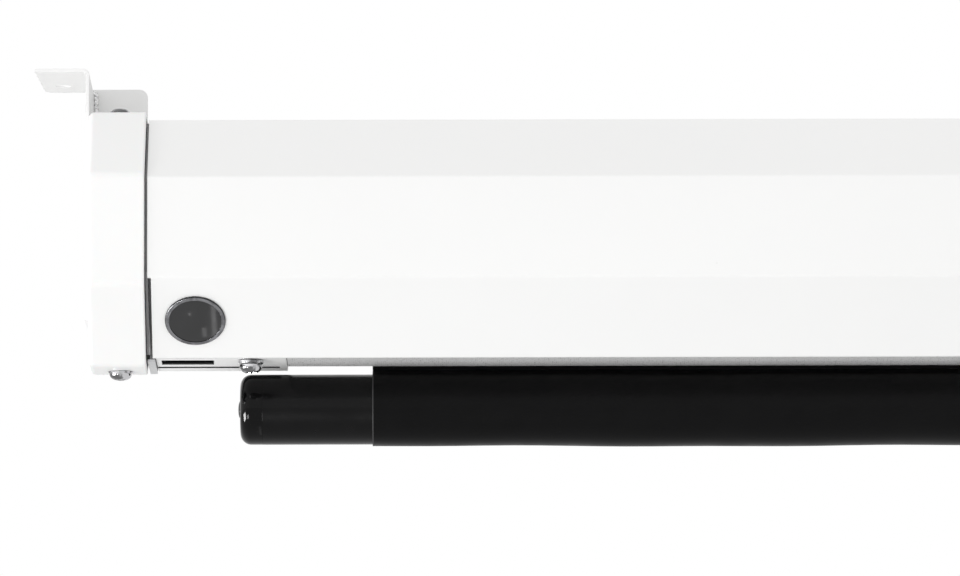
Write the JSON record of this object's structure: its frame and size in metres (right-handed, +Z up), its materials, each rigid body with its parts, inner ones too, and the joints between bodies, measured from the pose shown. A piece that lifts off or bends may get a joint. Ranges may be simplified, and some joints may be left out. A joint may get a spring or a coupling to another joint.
{
  "type": "motorized projector screen",
  "caption": "Rolled-up motorized projector screen: folded white case on welded end brackets, with a tubular motor, roller and black weight bar under the fabric slot.",
  "frame": {"origin": "on the ceiling plane, in the wall plane, half way along the case", "axes": "+X along the case towards the idler end, +Y towards the wall, +Z up; the motor end is at -X and the fabric slot faces down"},
  "size_m": [2.156, 0.0854, 0.1324],
  "materials": {
    "white_paint": "satin white powder coat on folded steel sheet",
    "white_plastic": "satin white moulded plastic",
    "zinc_plate": "bright zinc-plated steel",
    "chrome": "polished nickel or chrome plate",
    "dark_window": "dark smoked window that lets infrared through",
    "black_gloss": "glossy black moulded plastic",
    "black_paint": "glossy black paint on steel tube",
    "black_fabric": "black coated screen fabric with a soft sheen",
    "screen_fabric": "matte white projection fabric",
    "black_plastic": "matte black plastic",
    "grey_plastic": "grey moulded plastic",
    "green_board": "green circuit board",
    "aluminium": "plain drawn aluminium tube",
    "brass": "plain brass bush",
    "rubber": "black rubber bush"
  },
  "bodies": {
    "housing": {"case_shell": "white_paint", "end_cap_left": "white_plastic", "end_cap_right": "white_plastic", "end_plate_left": "zinc_plate", "end_plate_right": "zinc_plate", "bracket_left": "white_paint", "bracket_right": "white_paint", "bracket_bolt_left_upper": "zinc_plate", "bracket_bolt_left_lower": "zinc_plate", "bracket_bolt_right_upper": "zinc_plate", "bracket_bolt_right_lower": "zinc_plate", "cap_screw_left_top": "chrome", "cap_screw_left_bottom": "chrome", "cap_screw_right_top": "chrome", "cap_screw_right_bottom": "chrome", "case_screw_left_top": "chrome", "case_screw_left_rear": "chrome", "case_screw_right_top": "chrome", "case_screw_right_rear": "chrome", "slot_cover_left": "white_paint", "slot_cover_right": "white_paint", "cover_screw_left": "chrome", "cover_screw_right": "chrome", "cover_washer_left": "chrome", "cover_washer_right": "chrome", "eye_bezel": "chrome", "eye_window": "dark_window", "eye_nut": "black_plastic", "eye_board": "green_board", "eye_sensor": "black_plastic", "receiver_cable": "black_plastic", "motor_head": "black_plastic", "motor_clip": "zinc_plate", "motor_tube": "zinc_plate", "limit_switch_unit": "black_plastic", "motor_core": "zinc_plate", "motor_gearbox": "zinc_plate", "motor_cable": "black_plastic", "control_box": "grey_plastic", "supply_grommet": "rubber", "idler_pin": "zinc_plate", "idler_clip": "zinc_plate"},
    "roller": {"roller_tube": "aluminium", "fabric_roll": "screen_fabric", "limit_crown": "grey_plastic", "drive_wheel": "black_plastic", "output_shaft": "zinc_plate", "idler_plug": "black_plastic", "idler_bush": "brass"},
    "weight_bar": {"bar_tube": "black_paint", "bar_cap_left": "black_gloss", "bar_cap_right": "black_gloss", "bar_sleeve": "black_fabric", "fabric_drop": "black_fabric"},
    "up_limit_setting": {"limit_screw_up": "zinc_plate"},
    "down_limit_setting": {"limit_screw_down": "zinc_plate"}
  },
  "joints": [
    {"name": "roller_spin", "type": "hinge", "parent": "housing", "child": "roller", "pos_m": [0, -0.051, -0.0607], "axis": [-1, 0, 0], "range_deg": [0, 3296]},
    {"name": "bar_drop", "type": "slide", "parent": "housing", "child": "weight_bar", "axis": [0, 0, -1], "range_m": [0, 1.3], "deforming": ["fabric_drop"]},
    {"name": "up_limit_turn", "type": "hinge", "parent": "housing", "child": "up_limit_setting", "pos_m": [-1.027, -0.0426, -0.0827], "axis": [0, 0, 1], "continuous": true},
    {"name": "down_limit_turn", "type": "hinge", "parent": "housing", "child": "down_limit_setting", "pos_m": [-1.02, -0.0426, -0.0827], "axis": [0, 0, 1], "continuous": true}
  ],
  "couplings": [
    {"joint": "bar_drop", "follows": "roller_spin", "m_per_rad": 0.022598}
  ]
}
